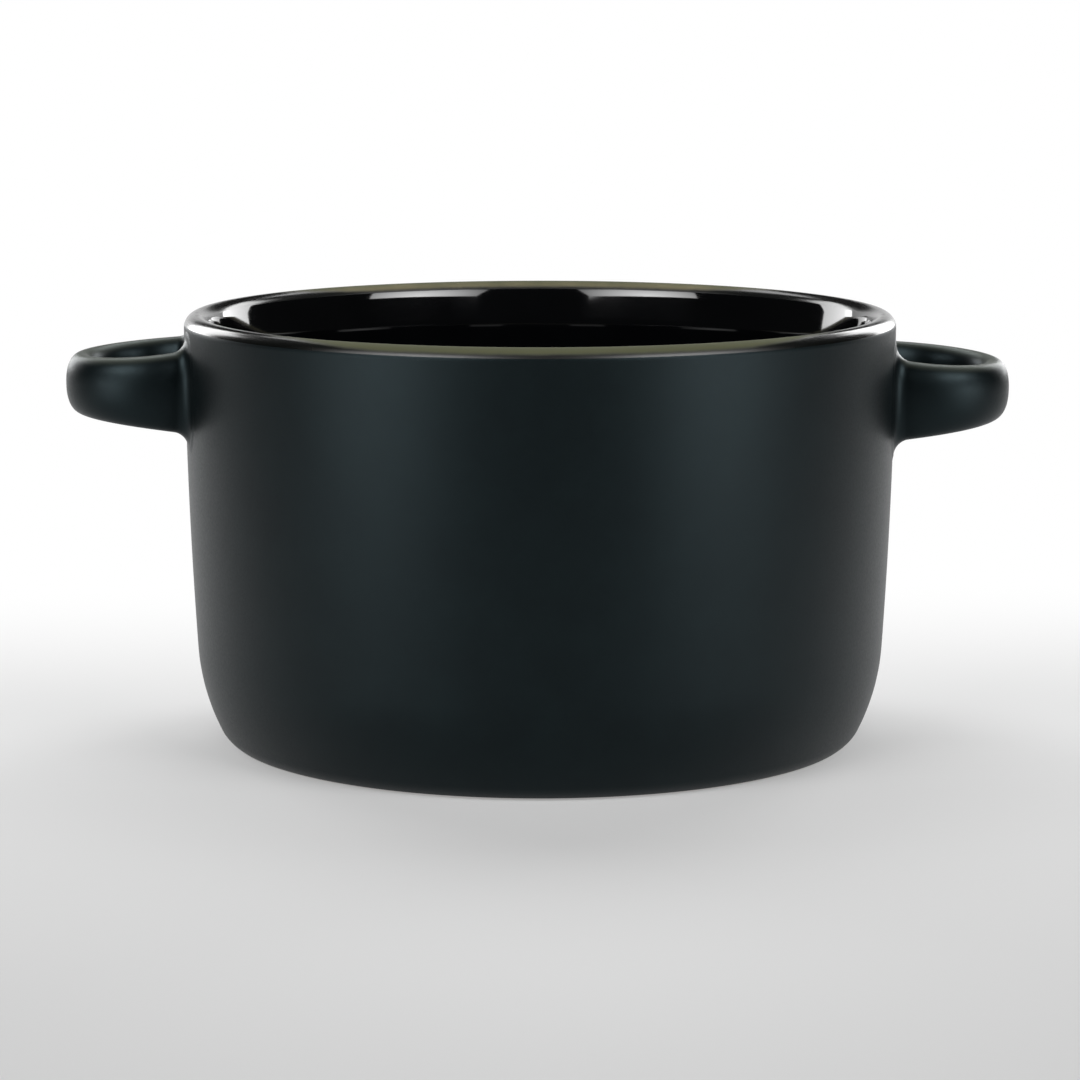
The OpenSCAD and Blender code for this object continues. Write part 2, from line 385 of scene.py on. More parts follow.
@dataclass(frozen=True)
class BareClay:
    """Fired clay with no glaze.

    The eye gets a matt, open-grained buff with iron specks burnt through it. Depths are in
    millimetres.
    """

    name: str
    pale: str
    deep: str
    speck: str
    ior: float = 1.5
    roughness: float = 0.86
    roughness_swing: float = 0.08
    cloud_mm: float = 6.0
    cloud_detail: float = 5.0
    speck_mm: float = 1.6
    speck_range: Span = (0.12, 0.2)
    speck_share: float = 0.8
    grit_mm: float = 0.5
    grit_detail: float = 3.0
    grit_strength: float = 0.5
    grit_depth: float = 0.08

    def material(self) -> bpy.types.Material:
        """Build the node material."""
        material, tree = new_tree(self.name)
        place = add_node(tree, "ShaderNodeTexCoord").outputs["Object"]
        cloud = add_node(tree, "ShaderNodeTexNoise", {
            "Vector": place, "Scale": per_mm(self.cloud_mm), "Detail": self.cloud_detail})
        speck = add_node(tree, "ShaderNodeTexVoronoi", {
            "Vector": place, "Scale": per_mm(self.speck_mm)})
        grit = add_node(tree, "ShaderNodeTexNoise", {
            "Vector": place, "Scale": per_mm(self.grit_mm), "Detail": self.grit_detail})
        body = add_node(tree, "ShaderNodeMix", {
            MIX_FACTOR: cloud.outputs["Fac"],
            MIX_A: linear(self.deep), MIX_B: linear(self.pale)}, data_type="RGBA")
        burnt = add_node(tree, "ShaderNodeMapRange", {
            "Value": speck.outputs["Distance"],
            "From Min": self.speck_range[0], "From Max": self.speck_range[1],
            "To Min": self.speck_share, "To Max": 0.0})
        colour = add_node(tree, "ShaderNodeMix", {
            MIX_FACTOR: burnt.outputs["Result"],
            MIX_A: body.outputs[MIX_RESULT], MIX_B: linear(self.speck)}, data_type="RGBA")
        rough = add_node(tree, "ShaderNodeMapRange", {
            "Value": grit.outputs["Fac"],
            "To Min": self.roughness - self.roughness_swing,
            "To Max": self.roughness + self.roughness_swing})
        bump = add_node(tree, "ShaderNodeBump", {
            "Height": grit.outputs["Fac"], "Strength": self.grit_strength,
            "Distance": self.grit_depth * MM})
        shader = add_node(tree, "ShaderNodeBsdfPrincipled", {
            "Base Color": colour.outputs[MIX_RESULT], "Roughness": rough.outputs["Result"],
            "IOR": self.ior, "Normal": bump.outputs["Normal"]})
        add_node(tree, "ShaderNodeOutputMaterial", {"Surface": shader.outputs["BSDF"]})
        return material


@dataclass(frozen=True)
class Arc:
    """One round stretch of a half section, in the XZ plane, with angles in degrees."""

    centre: Point
    radius: float
    start: float
    end: float
    steps: int
    hollow: bool = False

    def point(self, angle: float, coat: float = 0.0) -> Point:
        """Place on the arc at an angle in degrees, with a coat of that thickness on it."""
        reach = self.radius - coat if self.hollow else self.radius + coat
        turn = math.radians(angle)
        return self.centre[0] + reach * math.cos(turn), self.centre[1] + reach * math.sin(turn)

    def back(self) -> "Arc":
        """The same arc, run the other way."""
        return Arc(self.centre, self.radius, self.end, self.start, self.steps, self.hollow)


class SectionPen:
    """Draws a half section as a chain of edges and turns it about Z, as on a wheel."""

    def __init__(self, start: Point) -> None:
        """Put the tip of the pen down at a radius and height."""
        self.mesh = bmesh.new()
        self.first = self.mesh.verts.new((start[0], 0.0, start[1]))
        self.tip = self.first

    def line(self, end: Point) -> None:
        """Draw a straight stretch to a point, unless the tip is there already."""
        goal = Vector((end[0], 0.0, end[1]))
        if (goal - self.tip.co).length < TOUCH:
            return
        drawn = bmesh.ops.extrude_vert_indiv(self.mesh, verts=[self.tip])
        self.tip = drawn["verts"][0]
        self.tip.co = goal

    def follow(self, arcs: Sequence[Arc], coat: float = 0.0) -> None:
        """Draw arcs one after another, joined by straight stretches where they don't meet.

        Args:
            arcs: The arcs, in order.
            coat: Thickness of the coat on them.
        """
        for arc in arcs:
            self.line(arc.point(arc.start, coat))
            drawn = bmesh.ops.spin(
                self.mesh, geom=[self.tip], cent=(arc.centre[0], 0.0, arc.centre[1]),
                axis=(0.0, -1.0, 0.0), angle=math.radians(arc.end - arc.start), steps=arc.steps,
                use_duplicate=False)
            self.tip = next(g for g in drawn["geom_last"] if isinstance(g, bmesh.types.BMVert))

    def follow_back(self, arcs: Sequence[Arc]) -> None:
        """Draw bare arcs from the end of the last to the start of the first."""
        self.follow([arc.back() for arc in reversed(arcs)])

    def close(self) -> None:
        """Join the tip to the place where the pen was put down."""
        self.mesh.edges.new((self.tip, self.first))

    def turn(self) -> bmesh.types.BMesh:
        """Turn the section through a full circle and return the closed mesh."""
        bmesh.ops.spin(
            self.mesh, geom=self.mesh.verts[:] + self.mesh.edges[:], cent=(0.0, 0.0, 0.0),
            axis=(0.0, 0.0, 1.0), angle=math.tau, steps=WHEEL_STEPS, use_merge=True,
            use_duplicate=False)
        bmesh.ops.remove_doubles(self.mesh, verts=self.mesh.verts[:], dist=MERGE)
        bmesh.ops.recalc_face_normals(self.mesh, faces=self.mesh.faces[:])
        return self.mesh


def put(name: str, data: bpy.types.ID) -> bpy.types.Object:
    """Make an object of a mesh, lamp or camera and put it in the scene.

    Args:
        name: Name of the object.
        data: What it shows.

    Returns:
        The object, at the origin.
    """
    made = bpy.data.objects.new(name, data)
    bpy.context.scene.collection.objects.link(made)
    return made


def put_mesh(
    name: str, mesh: bmesh.types.BMesh, material: bpy.types.Material,
) -> bpy.types.Object:
    """Make an object of a mesh in metres and put it in the scene.

    Args:
        name: Name of the object.
        mesh: Its mesh, which is freed.
        material: Its finish.

    Returns:
        The object, at the origin.
    """
    data = bpy.data.meshes.new(name)
    mesh.to_mesh(data)
    mesh.free()
    data.materials.append(material)
    return put(name, data)


def make_piece(
    name: str,
    mesh: bmesh.types.BMesh,
    material: bpy.types.Material,
    nodes: Sequence[str],
) -> None:
    """Turn a mesh in millimetres into a finished piece that rides on the crock.

    Args:
        name: Name of the piece.
        mesh: Its mesh, which is freed.
        material: Its finish.
        nodes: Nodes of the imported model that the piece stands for.
    """
    bmesh.ops.scale(mesh, vec=(MM, MM, MM), verts=mesh.verts[:])
    piece = put_mesh(name, mesh, material)
    piece.data.shade_smooth()
    piece.data.set_sharp_from_angle(angle=math.radians(SHARP_ANGLE))
    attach(piece, BODY)
    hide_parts(*nodes)
    log.info("%s: %d faces, stands for %s", name, len(piece.data.polygons), ", ".join(nodes))


@dataclass
class CrockForm:
    """Sizes of the thrown crock, in millimetres and degrees, and the arcs of its section.

    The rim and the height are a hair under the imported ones, because the finer mesh of a round
    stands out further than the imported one, and stays in its box.
    """

    rim_d: float = 126.985
    crock_h: float = 76.795
    lip_t: float = 4.5
    wall_t: float = 5.7
    floor_t: float = 5.0
    bow_r: float = 950.0
    corner_r: float = 12.0
    shoulder_a: float = 20.0
    shoulder_r: float = 8.0
    taper_a: float = 11.0
    ease_r: float = 12.0
    heel_h: float = 17.0
    heel_r: float = 37.6
    turn_r: float = 5.0
    turn_a: float = 80.0
    foot_w: float = 4.2
    recess_h: float = 1.6
    glaze_t: float = 0.4
    band_a: float = 16.0
    band_in_a: float = 22.0
    glaze_stop: float = 0.4
    turn_steps: int = 12
    heel_steps: int = 14
    bow_steps: int = 16
    band_steps: int = 6
    lip_steps: int = 28
    inner_lip_steps: int = 3
    shoulder_steps: int = 5
    ease_steps: int = 8
    inner_bow_steps: int = 14
    corner_steps: int = 16
    lip_r: float = field(init=False)
    lip_c: Point = field(init=False)
    bow_c: Point = field(init=False)
    heel_a: float = field(init=False)
    heel_c: Point = field(init=False)
    under_a: float = field(init=False)
    turn_c: Point = field(init=False)
    foot_r: float = field(init=False)
    recess_r: float = field(init=False)
    floor_z: float = field(init=False)

    def __post_init__(self) -> None:
        """Work out the centres and angles at which the arcs run into each other."""
        self.lip_r = self.lip_t / 2 - self.glaze_t
        self.lip_c = (self.rim_d / 2 - self.lip_t / 2, self.crock_h - self.lip_t / 2)
        self.bow_c = (self.lip_c[0] + self.lip_r - self.bow_r, self.lip_c[1])
        self.heel_a = math.degrees(math.asin((self.bow_c[1] - self.heel_h) / self.bow_r))
        self.heel_c = self.shifted(self.bow_c, self.bow_r - self.heel_r, -self.heel_a)
        drop = self.heel_c[1] - self.turn_r * math.sin(math.radians(self.turn_a))
        self.under_a = math.degrees(math.asin(drop / (self.heel_r - self.turn_r)))
        self.turn_c = self.shifted(self.heel_c, self.heel_r - self.turn_r, -self.under_a)
        self.foot_r = self.turn_c[0] + self.turn_r * math.cos(math.radians(self.turn_a))
        self.recess_r = self.foot_r - self.foot_w - self.recess_h
        self.floor_z = self.recess_h + self.floor_t

    @staticmethod
    def shifted(start: Point, reach: float, angle: float) -> Point:
        """The point at a distance and an angle in degrees from another."""
        turn = math.radians(angle)
        return start[0] + reach * math.cos(turn), start[1] + reach * math.sin(turn)

    def stop_angle(self, coat: float) -> float:
        """Angle of the turn at which the outside ends, with a coat of that thickness on it."""
        sink = (self.turn_c[1] - self.glaze_stop) / (self.turn_r + coat)
        return -math.degrees(math.asin(sink))

    def wall_radius(self, z: float, coat: float) -> float:
        """Radius of the outside at a height on the wall or lip, with a coat of that thickness."""
        if z > self.lip_c[1]:
            reach = self.lip_r + coat
            return self.lip_c[0] + math.sqrt(max(0.0, reach ** 2 - (z - self.lip_c[1]) ** 2))
        reach = self.bow_r + coat
        return self.bow_c[0] + math.sqrt(reach ** 2 - (self.bow_c[1] - z) ** 2)

    def outside(self, start: float) -> list[Arc]:
        """Arcs of the outside, from an angle on the turn up to the edge of the rim band."""
        return [
            Arc(self.turn_c, self.turn_r, start, -self.under_a, self.turn_steps),
            Arc(self.heel_c, self.heel_r, -self.under_a, -self.heel_a, self.heel_steps),
            Arc(self.bow_c, self.bow_r, -self.heel_a, 0.0, self.bow_steps),
            Arc(self.lip_c, self.lip_r, 0.0, self.band_a, self.band_steps),
        ]

    def lip(self) -> list[Arc]:
        """Arc of the lip, from the outer to the inner edge of the rim band."""
        return [Arc(self.lip_c, self.lip_r, self.band_a, 180.0 - self.band_in_a, self.lip_steps)]

    def inside(self) -> list[Arc]:
        """Arcs of the inside, from the edge of the rim band down to the flat of the floor."""
        inside_r = self.bow_r + 2 * self.glaze_t - self.wall_t
        top = 180.0 - self.shoulder_a
        low = 180.0 - self.taper_a
        shoulder_c = self.shifted(self.lip_c, self.lip_r - self.shoulder_r, top)
        taper_top = self.shifted(shoulder_c, self.shoulder_r, low)
        from_bow = self.shifted(
            (taper_top[0] - self.bow_c[0], taper_top[1] - self.bow_c[1]), -self.ease_r, low)
        run = (math.cos(math.radians(low + 90)), math.sin(math.radians(low + 90)))
        half_b = from_bow[0] * run[0] + from_bow[1] * run[1]
        excess = from_bow[0] ** 2 + from_bow[1] ** 2 - (inside_r + self.ease_r) ** 2
        length = -half_b - math.copysign(math.sqrt(half_b ** 2 - excess), -half_b)
        ease_c = (
            self.bow_c[0] + from_bow[0] + length * run[0],
            self.bow_c[1] + from_bow[1] + length * run[1])
        join_a = math.degrees(math.asin((self.bow_c[1] - ease_c[1]) / (inside_r + self.ease_r)))
        sink = (self.bow_c[1] - self.floor_z - self.corner_r) / (inside_r - self.corner_r)
        corner_a = math.degrees(math.asin(sink))
        corner_c = self.shifted(self.bow_c, inside_r - self.corner_r, -corner_a)
        return [
            Arc(self.lip_c, self.lip_r, 180.0 - self.band_in_a, top, self.inner_lip_steps),
            Arc(shoulder_c, self.shoulder_r, top, low, self.shoulder_steps),
            Arc(ease_c, self.ease_r, low, 180.0 - join_a, self.ease_steps),
            Arc(self.bow_c, inside_r, -join_a, -corner_a, self.inner_bow_steps, hollow=True),
            Arc(corner_c, self.corner_r, -corner_a, -90.0, self.corner_steps, hollow=True),
        ]


@dataclass
class Crock:
    """The thrown crock: stoneware body and the four coats of glaze on it."""

    form: CrockForm
    satin: bpy.types.Material
    gloss: bpy.types.Material
    breaking: bpy.types.Material
    clay: bpy.types.Material

    def build(self) -> None:
        """Turn the body and its coats."""
        self.build_body()
        self.build_outer()
        self.build_rim()
        self.build_liner()
        self.build_base()

    def build_body(self) -> None:
        """Turn the stoneware, from the recess under the foot round to the floor."""
        form = self.form
        pen = SectionPen((0.0, form.recess_h))
        pen.line((form.recess_r, form.recess_h))
        pen.line((form.recess_r + form.recess_h, 0.0))
        pen.follow(form.outside(-form.turn_a) + form.lip() + form.inside())
        pen.line((0.0, form.floor_z))
        make_piece("stoneware_body", pen.turn(), self.clay, ["crock_body"])

    def turn_coat(self, skin: Sequence[Arc], bed: Sequence[Arc]) -> bmesh.types.BMesh:
        """Turn a coat with an edge at both ends.

        Args:
            skin: Arcs of the bare clay under the face of the coat.
            bed: Arcs of the bare clay that the coat lies on.

        Returns:
            The closed mesh.
        """
        coat = self.form.glaze_t
        pen = SectionPen(skin[0].point(skin[0].start, coat))
        pen.follow(skin, coat)
        pen.follow_back(bed)
        pen.close()
        return pen.turn()

    def build_outer(self) -> None:
        """Turn the satin coat on the outside, whose edge above the foot is level."""
        form = self.form
        skin = form.outside(form.stop_angle(form.glaze_t))
        mesh = self.turn_coat(skin, form.outside(form.stop_angle(0.0)))
        make_piece("outer_satin_coat", mesh, self.satin, ["outer_glaze"])

    def build_rim(self) -> None:
        """Turn the band of gloss glaze over the lip."""
        mesh = self.turn_coat(self.form.lip(), self.form.lip())
        make_piece("rim_breaking_coat", mesh, self.breaking, ["rim_glaze"])

    def build_liner(self) -> None:
        """Turn the gloss coat on the inside, down to the middle of the floor."""
        form = self.form
        face = form.inside()
        pen = SectionPen((0.0, form.floor_z))
        pen.follow_back(face)
        pen.follow(face, form.glaze_t)
        pen.line((0.0, form.floor_z + form.glaze_t))
        make_piece("liner_gloss_coat", pen.turn(), self.gloss, ["liner_glaze"])

    def build_base(self) -> None:
        """Turn the coat in the recess inside the foot ring."""
        form = self.form
        pen = SectionPen((0.0, form.recess_h - form.glaze_t))
        pen.line((form.recess_r + form.glaze_t, form.recess_h - form.glaze_t))
        pen.line((form.recess_r, form.recess_h))
        pen.line((0.0, form.recess_h))
        make_piece("base_gloss_coat", pen.turn(), self.gloss, ["base_glaze"])


@dataclass
class LoopForm:
    """Sizes of one loop handle, in millimetres, over the glaze.

    The top of the fillets stops at top_limit, below the crest of the lip.
    """

    crock: CrockForm
    handle_reach: float = 21.1
    loop_seat: float = 6.0
    loop_w: float = 30.0
    strand_t: float = 5.6
    strand_h: float = 10.5
    handle_drop: float = 7.0
    root_rise: float = 1.7
    root_fall: float = 2.8
    squareness: float = 2.3
    fillet_r: float = 2.6
    swing_len: float = 6.0
    top_limit: float = 74.7
    loop_top: float = field(init=False)
    loop_mid: float = field(init=False)
    seat_r: float = field(init=False)
    loop_x: float = field(init=False)
    loop_a: float = field(init=False)
    loop_b: float = field(init=False)

    def __post_init__(self) -> None:
        """Work out the ellipse of the loop's middle line."""
        self.loop_top = self.crock.crock_h - self.handle_drop
        self.loop_mid = self.loop_top - self.strand_h / 2
        self.seat_r = self.crock.wall_radius(self.loop_mid, 0.0)
        self.loop_x = self.seat_r + self.loop_seat
        tip = self.crock.rim_d / 2 + self.handle_reach
        self.loop_a = tip - self.strand_t / 2 - self.loop_x
        self.loop_b = (self.loop_w - self.strand_t) / 2

    def angle_at(self, gap: float) -> float:
        """Plan angle, in radians, at which the middle line is this far from the bare wall."""
        k2 = self.loop_a ** 2 - self.loop_b ** 2
        k1 = 2 * self.loop_x * self.loop_a
        k0 = self.loop_x ** 2 + self.loop_b ** 2 - (self.seat_r + gap) ** 2
        return math.acos(-2 * k0 / (k1 + math.sqrt(k1 ** 2 - 4 * k2 * k0)))

    def flare(self, gap: float) -> float:
        """Growth of the section in the fillet, at a distance from the bare wall."""
        coat = self.crock.glaze_t
        inward = self.fillet_r + coat - max(coat, min(gap, coat + self.fillet_r))
        return self.fillet_r - math.sqrt(self.fillet_r ** 2 - inward ** 2)

    def wave(self, share: float) -> float:
        """Rounded wave that gives the section its squareness."""
        return math.copysign(abs(share) ** (2 / self.squareness), share)


@dataclass
class LoopHandle:
    """The satin coat of one loop, in millimetres, whose fillets run out on the wall.

    A skirt leads each fillet from a slight lift down into the wall's coat, so that the slip under
    it stays hidden. The coat is a little thinner than the glaze, to stay clear of the stoneware.
    """

    form: LoopForm
    side: Side
    lean: float
    drop: float
    satin: bpy.types.Material
    strand_rings: int = 44
    fillet_rings: int = 14
    section_points: int = 64
    skirt_rings: int = 5
    skirt_lift: float = 0.15
    skirt_run: float = 1.4
    skirt_sink: float = 0.03
    coat_share: float = 0.9
    pull_power: int = 4

    def stations(self) -> list[tuple[float, float, float]]:
        """Plan angle, distance from the bare wall and growth of each section, tip to root."""
        form = self.form
        coat = form.crock.glaze_t
        free = form.angle_at(coat + form.fillet_r)
        found = []
        for i in range(self.strand_rings + 1):
            angle = free * i / self.strand_rings
            found.append((angle, self.gap_at(angle), 0.0))
        for i in range(1, self.fillet_rings + 1):
            gap = coat + form.fillet_r * (1 - math.sin(math.pi / 2 * i / self.fillet_rings))
            lifted = gap + self.skirt_lift * i / self.fillet_rings
            found.append((form.angle_at(lifted), lifted, form.flare(gap)))
        for i in range(1, self.skirt_rings + 1):
            run = i / self.skirt_rings
            gap = coat + self.skirt_lift * (1 - run) ** 2 - self.skirt_sink * run
            found.append((form.angle_at(gap), gap, form.fillet_r + self.skirt_run * run))
        return found

    def gap_at(self, angle: float) -> float:
        """Distance from the bare wall of the middle line at a plan angle."""
        form = self.form
        along = form.loop_x + form.loop_a * math.cos(angle)
        return math.hypot(along, form.loop_b * math.sin(angle)) - form.seat_r

    def shape_ring(
        self, ring: Sequence[bmesh.types.BMVert], angle: float, gap: float, growth: float,
    ) -> None:
        """Shape a circle of points into one section of the strand.

        Args:
            ring: Points of the circle, in order.
            angle: Plan angle of the section, below zero at the front.
            gap: Distance of its middle from the bare wall.
            growth: How much the fillet widens it.
        """
        form = self.form
        coat = form.crock.glaze_t
        middle = Vector((
            form.loop_x + form.loop_a * math.cos(angle), form.loop_b * math.sin(angle)))
        square = math.atan2(math.sin(angle) / form.loop_b, math.cos(angle) / form.loop_a)
        along = math.atan2(middle.y, middle.x) + math.copysign(math.pi / 2, angle)
        held = max(0.0, min(1.0, 1 - (gap - coat) / form.swing_len))
        swing = (along - square) * held
        across = Vector((math.cos(square + swing), math.sin(square + swing)))
        near = (angle / form.angle_at(0.0)) ** 2
        half_t = form.strand_t / 2 / math.cos(swing) + growth
        top = min(form.loop_top + form.root_rise * near + growth, form.top_limit)
        bottom = form.loop_top - form.strand_h - form.root_fall * near - growth
        place = self.placing()
        for i, vert in enumerate(ring):
            turn = math.tau * i / len(ring)
            plan = middle + across * half_t * form.wave(math.cos(turn))
            height = (top + bottom) / 2 + (top - bottom) / 2 * form.wave(math.sin(turn))
            spot = place @ Vector((plan.x, plan.y, height))
            wall = form.crock.wall_radius(spot.z, gap)
            flat = math.hypot(spot.x, spot.y)
            pull = 1 + (wall / flat - 1) * held ** self.pull_power
            vert.co = (spot.x * pull, spot.y * pull, spot.z)

    def placing(self) -> Matrix:
        """Matrix that leans the loop, lowers it and puts it on its side of the crock."""
        mid = self.form.loop_mid
        lean = Matrix.Rotation(math.radians(self.lean), 4, "X")
        lowered = Matrix.Translation((0.0, 0.0, mid - self.drop))
        raised = lowered @ lean @ Matrix.Translation((0.0, 0.0, -mid))
        return Matrix.Diagonal((self.side.value, 1.0, 1.0, 1.0)) @ raised

    def build(self) -> None:
        """Loft the coat through its sections."""
        half = self.stations()
        order = [(-a, gap, growth) for a, gap, growth in reversed(half[1:])] + half
        mesh = bmesh.new()
        before: list[bmesh.types.BMEdge] = []
        for angle, gap, growth in order:
            ring = bmesh.ops.create_circle(
                mesh, cap_ends=False, segments=self.section_points, radius=1.0)["verts"]
            self.shape_ring(ring, angle, gap, growth)
            edges = list({edge for vert in ring for edge in vert.link_edges})
            if before:
                bmesh.ops.bridge_loops(mesh, edges=before + edges)
            before = edges
        bmesh.ops.recalc_face_normals(mesh, faces=mesh.faces[:])
        thickness = self.form.crock.glaze_t * self.coat_share
        bmesh.ops.solidify(mesh, geom=mesh.faces[:], thickness=thickness)
        name = self.side.name.lower()
        make_piece(
            f"{name}_handle_satin_coat", mesh, self.satin, [f"{name}_handle_glaze"])


def away(azimuth: float, elevation: float) -> Vector:
    """Direction from the crock, in degrees: azimuth 0 is in front of it and 90 on its right."""
    turn, rise = math.radians(azimuth), math.radians(elevation)
    return Vector((
        math.sin(turn) * math.cos(rise), -math.cos(turn) * math.cos(rise), math.sin(rise)))


def aim(item: bpy.types.Object, spot: Vector, behind: Vector) -> None:
    """Stand a lamp or the camera at a spot.

    Args:
        item: The lamp or camera.
        spot: Where it stands, in metres.
        behind: Direction that it turns its back to.
    """
    item.location = spot
    item.rotation_mode = "QUATERNION"
    item.rotation_quaternion = behind.to_track_quat("Z", "Y")


@dataclass(frozen=True)
class Softbox:
    """A soft rectangular lamp that faces the crock; angles in degrees, lengths in metres.

    A spread below 180 stands for a grid on the lamp. The lamp faces above the crock by the lift,
    and keeps its radiance as seen from the crock.
    """

    name: str
    azimuth: float
    elevation: float
    distance: float
    width: float
    height: float
    radiance: float
    spread: float = 180.0
    lift: float = 0.0
    middle_z: float = 0.05

    @classmethod
    def pair(cls, name: str, azimuth: float, **sizes: float) -> tuple["Softbox", "Softbox"]:
        """A lamp on the left and its twin on the right.

        Args:
            name: Name of the lamps, with {} for the side.
            azimuth: Azimuth of the lamp on the right.
            **sizes: The other fields of both.

        Returns:
            The left lamp and the right one.
        """
        left, right = name.format("left"), name.format("right")
        return cls(left, -azimuth, **sizes), cls(right, azimuth, **sizes)

    def build(self) -> None:
        """Hang the lamp, out of the camera's sight."""
        data = bpy.data.lights.new(self.name, "AREA")
        data.shape = "RECTANGLE"
        data.size = self.width
        data.size_y = self.height
        data.spread = math.radians(self.spread)
        data.energy = self.radiance * math.pi * self.width * self.height / self.gain()
        lamp = put(self.name, data)
        middle = Vector((0.0, 0.0, self.middle_z))
        spot = away(self.azimuth, self.elevation) * self.distance + middle
        aim(lamp, spot, away(self.azimuth, self.elevation - self.lift))
        lamp.visible_camera = False

    def gain(self) -> float:
        """How much brighter the grid makes the lamp, seen from the crock."""
        if self.spread >= 180.0:
            return 1.0
        half = math.radians(self.spread / 2)
        return (math.tan(half) - math.tan(math.radians(self.lift))) / (math.tan(half) - half)


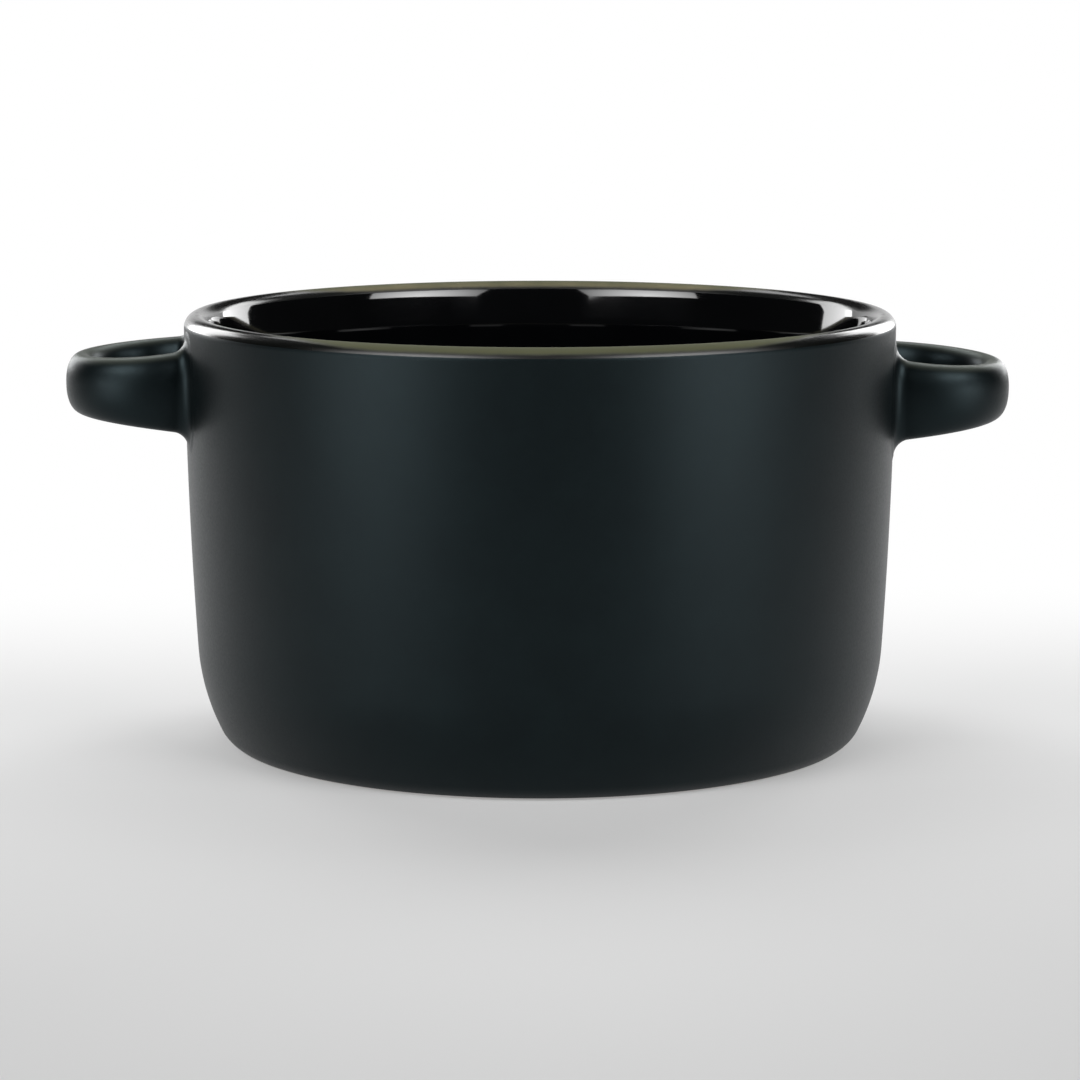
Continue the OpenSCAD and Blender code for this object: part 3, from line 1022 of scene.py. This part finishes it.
@dataclass
class Studio:
    """Floor, soft light and camera; lengths in metres, angles in degrees, the lens in millimetres.

    The papers turn white between the two values of a clear_y, and of a clear_x, which counts from
    the middle and widens towards the back by the flare. The veil is the least share of white.
    """

    yaw: float = -2.74
    elevation: float = 9.05
    distance: float = 0.675
    target_z: float = 0.0353
    lens: float = 124.5
    sensor_w: float = 36.0
    floor_half: float = 40.0
    floor_colour: str = "#d4d4d4"
    floor_clear_y: Span = (-0.02, 0.16)
    floor_clear_x: Span = (0.22, 0.11)
    clear_flare: float = 0.195
    veil: float = 0.3
    wall_y: float = 1.4
    wall_w: float = 2.0
    wall_h: float = 0.36
    wall_clear_y: Span = (-1.0, 0.0)
    wall_clear_x: Span = (3.0, 2.0)
    ambient: float = 0.02
    softboxes: Sequence[Softbox] = (
        *Softbox.pair(
            "high_{}_softbox", 44.0, elevation=32.0, distance=0.70, width=0.52, height=0.25,
            radiance=9.8, spread=60.0, lift=11.0),
        *Softbox.pair(
            "low_{}_softbox", 54.0, elevation=0.0, distance=0.70, width=0.52, height=0.09,
            radiance=11.5, spread=60.0),
        Softbox(
            "back_top_softbox", 180.0, elevation=58.0, distance=0.80, width=0.70, height=0.50,
            radiance=3.5),
        *Softbox.pair(
            "back_{}_panel", 142.0, elevation=17.0, distance=0.70, width=0.28, height=0.37,
            radiance=6.0),
    )

    def build(self) -> None:
        """Set up the floor and wall, the lamps, the world and the camera."""
        self.build_floor()
        self.build_wall()
        for softbox in self.softboxes:
            softbox.build()
        self.build_world()
        self.build_camera()
        bpy.context.scene.view_settings.view_transform = "Standard"

    def build_floor(self) -> None:
        """Lay a pale floor that keeps the shadow and goes white towards the wall behind."""
        mesh = bmesh.new()
        bmesh.ops.create_grid(mesh, x_segments=1, y_segments=1, size=self.floor_half)
        paper = self.paper("pale_paper", self.floor_clear_y, self.floor_clear_x)
        self.stage_sheet("floor", mesh, paper)

    def build_wall(self) -> None:
        """Stand a white wall behind the crock."""
        mesh = bmesh.new()
        unit_half = 0.5
        bmesh.ops.create_grid(mesh, x_segments=1, y_segments=1, size=unit_half)
        bmesh.ops.scale(mesh, vec=(self.wall_w, self.wall_h, 1.0), verts=mesh.verts[:])
        bmesh.ops.rotate(
            mesh, cent=(0.0, 0.0, 0.0), matrix=Matrix.Rotation(math.pi / 2, 3, "X"),
            verts=mesh.verts[:])
        bmesh.ops.translate(
            mesh, vec=(0.0, self.wall_y, self.wall_h / 2), verts=mesh.verts[:])
        paper = self.paper("white_paper", self.wall_clear_y, self.wall_clear_x)
        self.stage_sheet("wall", mesh, paper)

    @staticmethod
    def stage_sheet(name: str, mesh: bmesh.types.BMesh, material: bpy.types.Material) -> None:
        """Put a mesh on the stage, apart from the crock.

        Args:
            name: Name of the object.
            mesh: Its mesh, which is freed.
            material: Its finish.
        """
        sheet = put_mesh(name, mesh, material)

    def paper(self, name: str, clear_y: Span, clear_x: Span) -> bpy.types.Material:
        """Build matt paper that turns clear white behind the crock.

        Args:
            name: Name of the material.
            clear_y: Y at which it begins to turn white, and from which it is white.
            clear_x: Distance from the middle outside which it is matt, and within which it is
                white.

        Returns:
            The material.
        """
        material, tree = new_tree(name)
        place = add_node(tree, "ShaderNodeTexCoord").outputs["Object"]
        parts = add_node(tree, "ShaderNodeSeparateXYZ", {"Vector": place})
        width = add_node(
            tree, "ShaderNodeMath", {0: parts.outputs["X"]}, operation="ABSOLUTE")
        aside = add_node(tree, "ShaderNodeMath", {
            0: parts.outputs["Y"], 1: -self.clear_flare, 2: width.outputs["Value"]},
            operation="MULTIPLY_ADD")
        behind = add_node(tree, "ShaderNodeMapRange", {
            "Value": parts.outputs["Y"], "From Min": clear_y[0], "From Max": clear_y[1]},
            interpolation_type="SMOOTHSTEP")
        within = add_node(tree, "ShaderNodeMapRange", {
            "Value": aside.outputs["Value"], "From Min": clear_x[0], "From Max": clear_x[1]},
            interpolation_type="SMOOTHSTEP")
        area = add_node(tree, "ShaderNodeMath", {
            0: behind.outputs["Result"], 1: within.outputs["Result"]}, operation="MULTIPLY")
        clear = add_node(tree, "ShaderNodeMapRange", {
            "Value": area.outputs["Value"], "To Min": self.veil})
        path = add_node(tree, "ShaderNodeLightPath")
        seen = add_node(tree, "ShaderNodeMath", {
            0: path.outputs["Is Camera Ray"], 1: path.outputs["Is Glossy Ray"]},
            operation="MAXIMUM")
        shown = add_node(tree, "ShaderNodeMath", {
            0: seen.outputs["Value"], 1: path.outputs["Is Transmission Ray"]},
            operation="MAXIMUM")
        share = add_node(tree, "ShaderNodeMath", {
            0: clear.outputs["Result"], 1: shown.outputs["Value"]}, operation="MULTIPLY")
        matt = add_node(tree, "ShaderNodeBsdfDiffuse", {"Color": linear(self.floor_colour)})
        white = add_node(tree, "ShaderNodeEmission", {"Color": WHITE, "Strength": 1.0})
        mixed = add_node(tree, "ShaderNodeMixShader", {
            0: share.outputs["Value"], 1: matt.outputs["BSDF"], 2: white.outputs["Emission"]})
        add_node(tree, "ShaderNodeOutputMaterial", {"Surface": mixed.outputs["Shader"]})
        return material

    def build_world(self) -> None:
        """Fill the room with a faint even light."""
        world = bpy.data.worlds.new("studio")
        world.use_nodes = True
        world.node_tree.nodes.clear()
        fill = add_node(world.node_tree, "ShaderNodeBackground", {
            "Color": WHITE, "Strength": self.ambient})
        add_node(world.node_tree, "ShaderNodeOutputWorld", {
            "Surface": fill.outputs["Background"]})
        bpy.context.scene.world = world

    def build_camera(self) -> None:
        """Set the camera at the viewing angle of the photograph."""
        data = bpy.data.cameras.new("camera")
        data.sensor_width = self.sensor_w
        data.lens = self.lens
        camera = put("camera", data)
        back = away(self.yaw, self.elevation)
        aim(camera, back * self.distance + Vector((0.0, 0.0, self.target_z)), back)
        bpy.context.scene.camera = camera


def dress_node(node: str, material: bpy.types.Material) -> None:
    """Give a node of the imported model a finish, in place of its plain colour.

    Args:
        node: Name of the node.
        material: Its finish.
    """
    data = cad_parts[node].data
    data.materials.clear()
    data.materials.append(material)
    log.info("%s: kept, in %s", node, material.name)


def main() -> None:
    """Build the crock, its handles and the studio."""
    logging.basicConfig(level=logging.INFO, format="%(message)s")
    form = CrockForm()
    satin = SatinGlaze().material()
    gloss = GlossGlaze().material()
    breaking = BreakingGlaze(
        crest_z=form.crock_h, middle_r=form.lip_c[0], lip_r=form.lip_r + form.glaze_t).material()
    clay = BareClay("bare_stoneware", pale="#c2a680", deep="#a98c66", speck="#5a3f28").material()
    slip = BareClay("fired_slip", pale="#97795a", deep="#7d6247", speck="#4a3423").material()
    Crock(form, satin, gloss, breaking, clay).build()
    loop = LoopForm(form)
    LoopHandle(loop, Side.LEFT, lean=1.4, drop=0.0, satin=satin).build()
    LoopHandle(loop, Side.RIGHT, lean=3.1, drop=1.8, satin=satin).build()
    for side in Side:
        name = side.name.lower()
        dress_node(f"{name}_handle", clay)
        for end in ("front", "back"):
            dress_node(f"{name}_{end}_slip_joint", slip)
    Studio().build()


if __name__ == "__main__":
    main()
